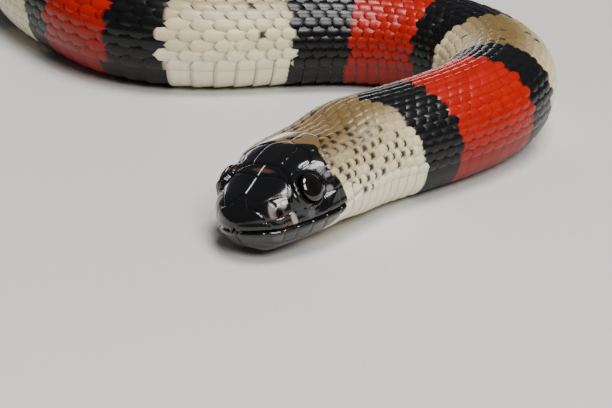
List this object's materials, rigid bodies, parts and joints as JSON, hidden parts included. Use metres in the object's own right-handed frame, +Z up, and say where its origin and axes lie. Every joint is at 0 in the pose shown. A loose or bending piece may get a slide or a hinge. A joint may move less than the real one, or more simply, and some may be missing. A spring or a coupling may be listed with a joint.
{
  "type": "milk snake",
  "caption": "Life-size still model of a milk snake resting on the floor in loose bends, with red, black and cream rings, a black head and small glossy eyes.",
  "frame": {"origin": "middle of the box that the snake covers, on the floor that its belly rests on", "axes": "+X to the right of the picture's view, +Y away from its camera, +Z up"},
  "size_m": [0.2696, 0.2223, 0.0163],
  "materials": {
    "black_scales": "smooth glossy blue-black scales",
    "red_scales": "smooth satin orange-red scales",
    "cream_scales": "smooth satin cream scales, tan along the back",
    "eye": "wet gloss under a clear scale, near-black iris"
  },
  "bodies": {
    "root": {"head": "black_scales", "lower_jaw": "black_scales", "eye_left": "eye", "eye_right": "eye", "neck": "cream_scales", "trunk_01": "black_scales", "trunk_02": "red_scales", "trunk_03": "cream_scales", "trunk_04": "black_scales", "trunk_05": "red_scales", "trunk_06": "cream_scales", "trunk_07": "black_scales", "trunk_08": "red_scales", "trunk_09": "cream_scales", "trunk_10": "black_scales", "trunk_11": "red_scales", "trunk_12": "cream_scales", "tail_1": "cream_scales", "tail_2": "black_scales"}
  },
  "joints": []
}
